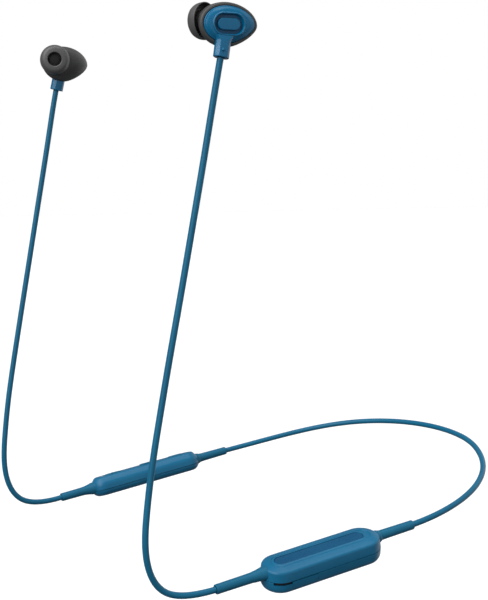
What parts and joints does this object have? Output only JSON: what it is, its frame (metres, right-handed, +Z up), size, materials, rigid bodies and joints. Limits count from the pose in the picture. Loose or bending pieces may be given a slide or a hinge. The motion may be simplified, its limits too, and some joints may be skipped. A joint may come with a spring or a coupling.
{
  "type": "neckband earphones",
  "caption": "Wireless neckband earphones: earbuds with silicone tips on cords that run through a battery box and a button remote to a cord behind the neck.",
  "frame": {"origin": "middle of the cord behind the neck, where it rests on the nape", "axes": "+Z up, -Y the way the wearer faces, +X the wearer's left"},
  "size_m": [0.153, 0.1738, 0.1953],
  "materials": {
    "shell_blue": "satin",
    "sleeve_blue": "satin",
    "cord_blue": "satin",
    "cover_blue": "satin",
    "inlay_blue": "satin",
    "dark_grey": "satin",
    "silicone": "satin",
    "board_green": "satin",
    "steel": "satin",
    "cell_silver": "satin",
    "chip_black": "matte",
    "lens": "satin"
  },
  "bodies": {
    "neckband": {"battery_top_shell": "shell_blue", "battery_bottom_shell": "shell_blue", "battery_inlay": "inlay_blue", "battery_cell": "cell_silver", "charging_board": "board_green", "usb_receptacle": "steel", "battery_front_sleeve": "sleeve_blue", "battery_rear_sleeve": "sleeve_blue", "remote_top_shell": "shell_blue", "remote_bottom_shell": "shell_blue", "control_board": "board_green", "bluetooth_module": "chip_black", "microphone": "steel", "status_light": "lens", "remote_front_sleeve": "sleeve_blue", "remote_rear_sleeve": "sleeve_blue", "volume_up_switch": "chip_black", "play_switch": "chip_black", "volume_down_switch": "chip_black", "left_back_cover": "cover_blue", "left_accent_plate": "cover_blue", "left_housing": "dark_grey", "left_nozzle_grille": "chip_black", "left_cord_bush": "chip_black", "left_driver_frame": "steel", "left_driver_magnet": "chip_black", "left_diaphragm": "lens", "left_ear_cord": "cord_blue", "right_back_cover": "cover_blue", "right_accent_plate": "cover_blue", "right_housing": "dark_grey", "right_nozzle_grille": "chip_black", "right_cord_bush": "chip_black", "right_driver_frame": "steel", "right_driver_magnet": "chip_black", "right_diaphragm": "lens", "right_ear_cord": "cord_blue", "neck_cord": "cord_blue"},
    "volume_up": {"volume_up_button": "sleeve_blue"},
    "play": {"play_button": "sleeve_blue"},
    "volume_down": {"volume_down_button": "sleeve_blue"},
    "port_door": {"usb_cover": "shell_blue"},
    "left_tip": {"left_ear_tip": "silicone"},
    "right_tip": {"right_ear_tip": "silicone"}
  },
  "joints": [
    {"name": "volume_up_press", "type": "slide", "parent": "neckband", "child": "volume_up", "axis": [0.206, 0.1417, -0.9682], "range_m": [0, 0.0003], "stiffness_N_per_m": 2000, "springref_m": -0.0002},
    {"name": "play_press", "type": "slide", "parent": "neckband", "child": "play", "axis": [0.206, 0.1417, -0.9682], "range_m": [0, 0.0003], "stiffness_N_per_m": 2000, "springref_m": -0.0002},
    {"name": "volume_down_press", "type": "slide", "parent": "neckband", "child": "volume_down", "axis": [0.206, 0.1417, -0.9682], "range_m": [0, 0.0003], "stiffness_N_per_m": 2000, "springref_m": -0.0002},
    {"name": "port_door_swing", "type": "hinge", "parent": "neckband", "child": "port_door", "pos_m": [0.0759, -0.11058, -0.02714], "axis": [0.206, -0.1417, 0.9682], "range_deg": [0, 100]},
    {"name": "left_tip_slide", "type": "slide", "parent": "neckband", "child": "left_tip", "axis": [-0.9252, -0.3795, 0], "range_m": [0, 0.007]},
    {"name": "right_tip_slide", "type": "slide", "parent": "neckband", "child": "right_tip", "axis": [0.9252, -0.3795, 0], "range_m": [0, 0.007]}
  ]
}
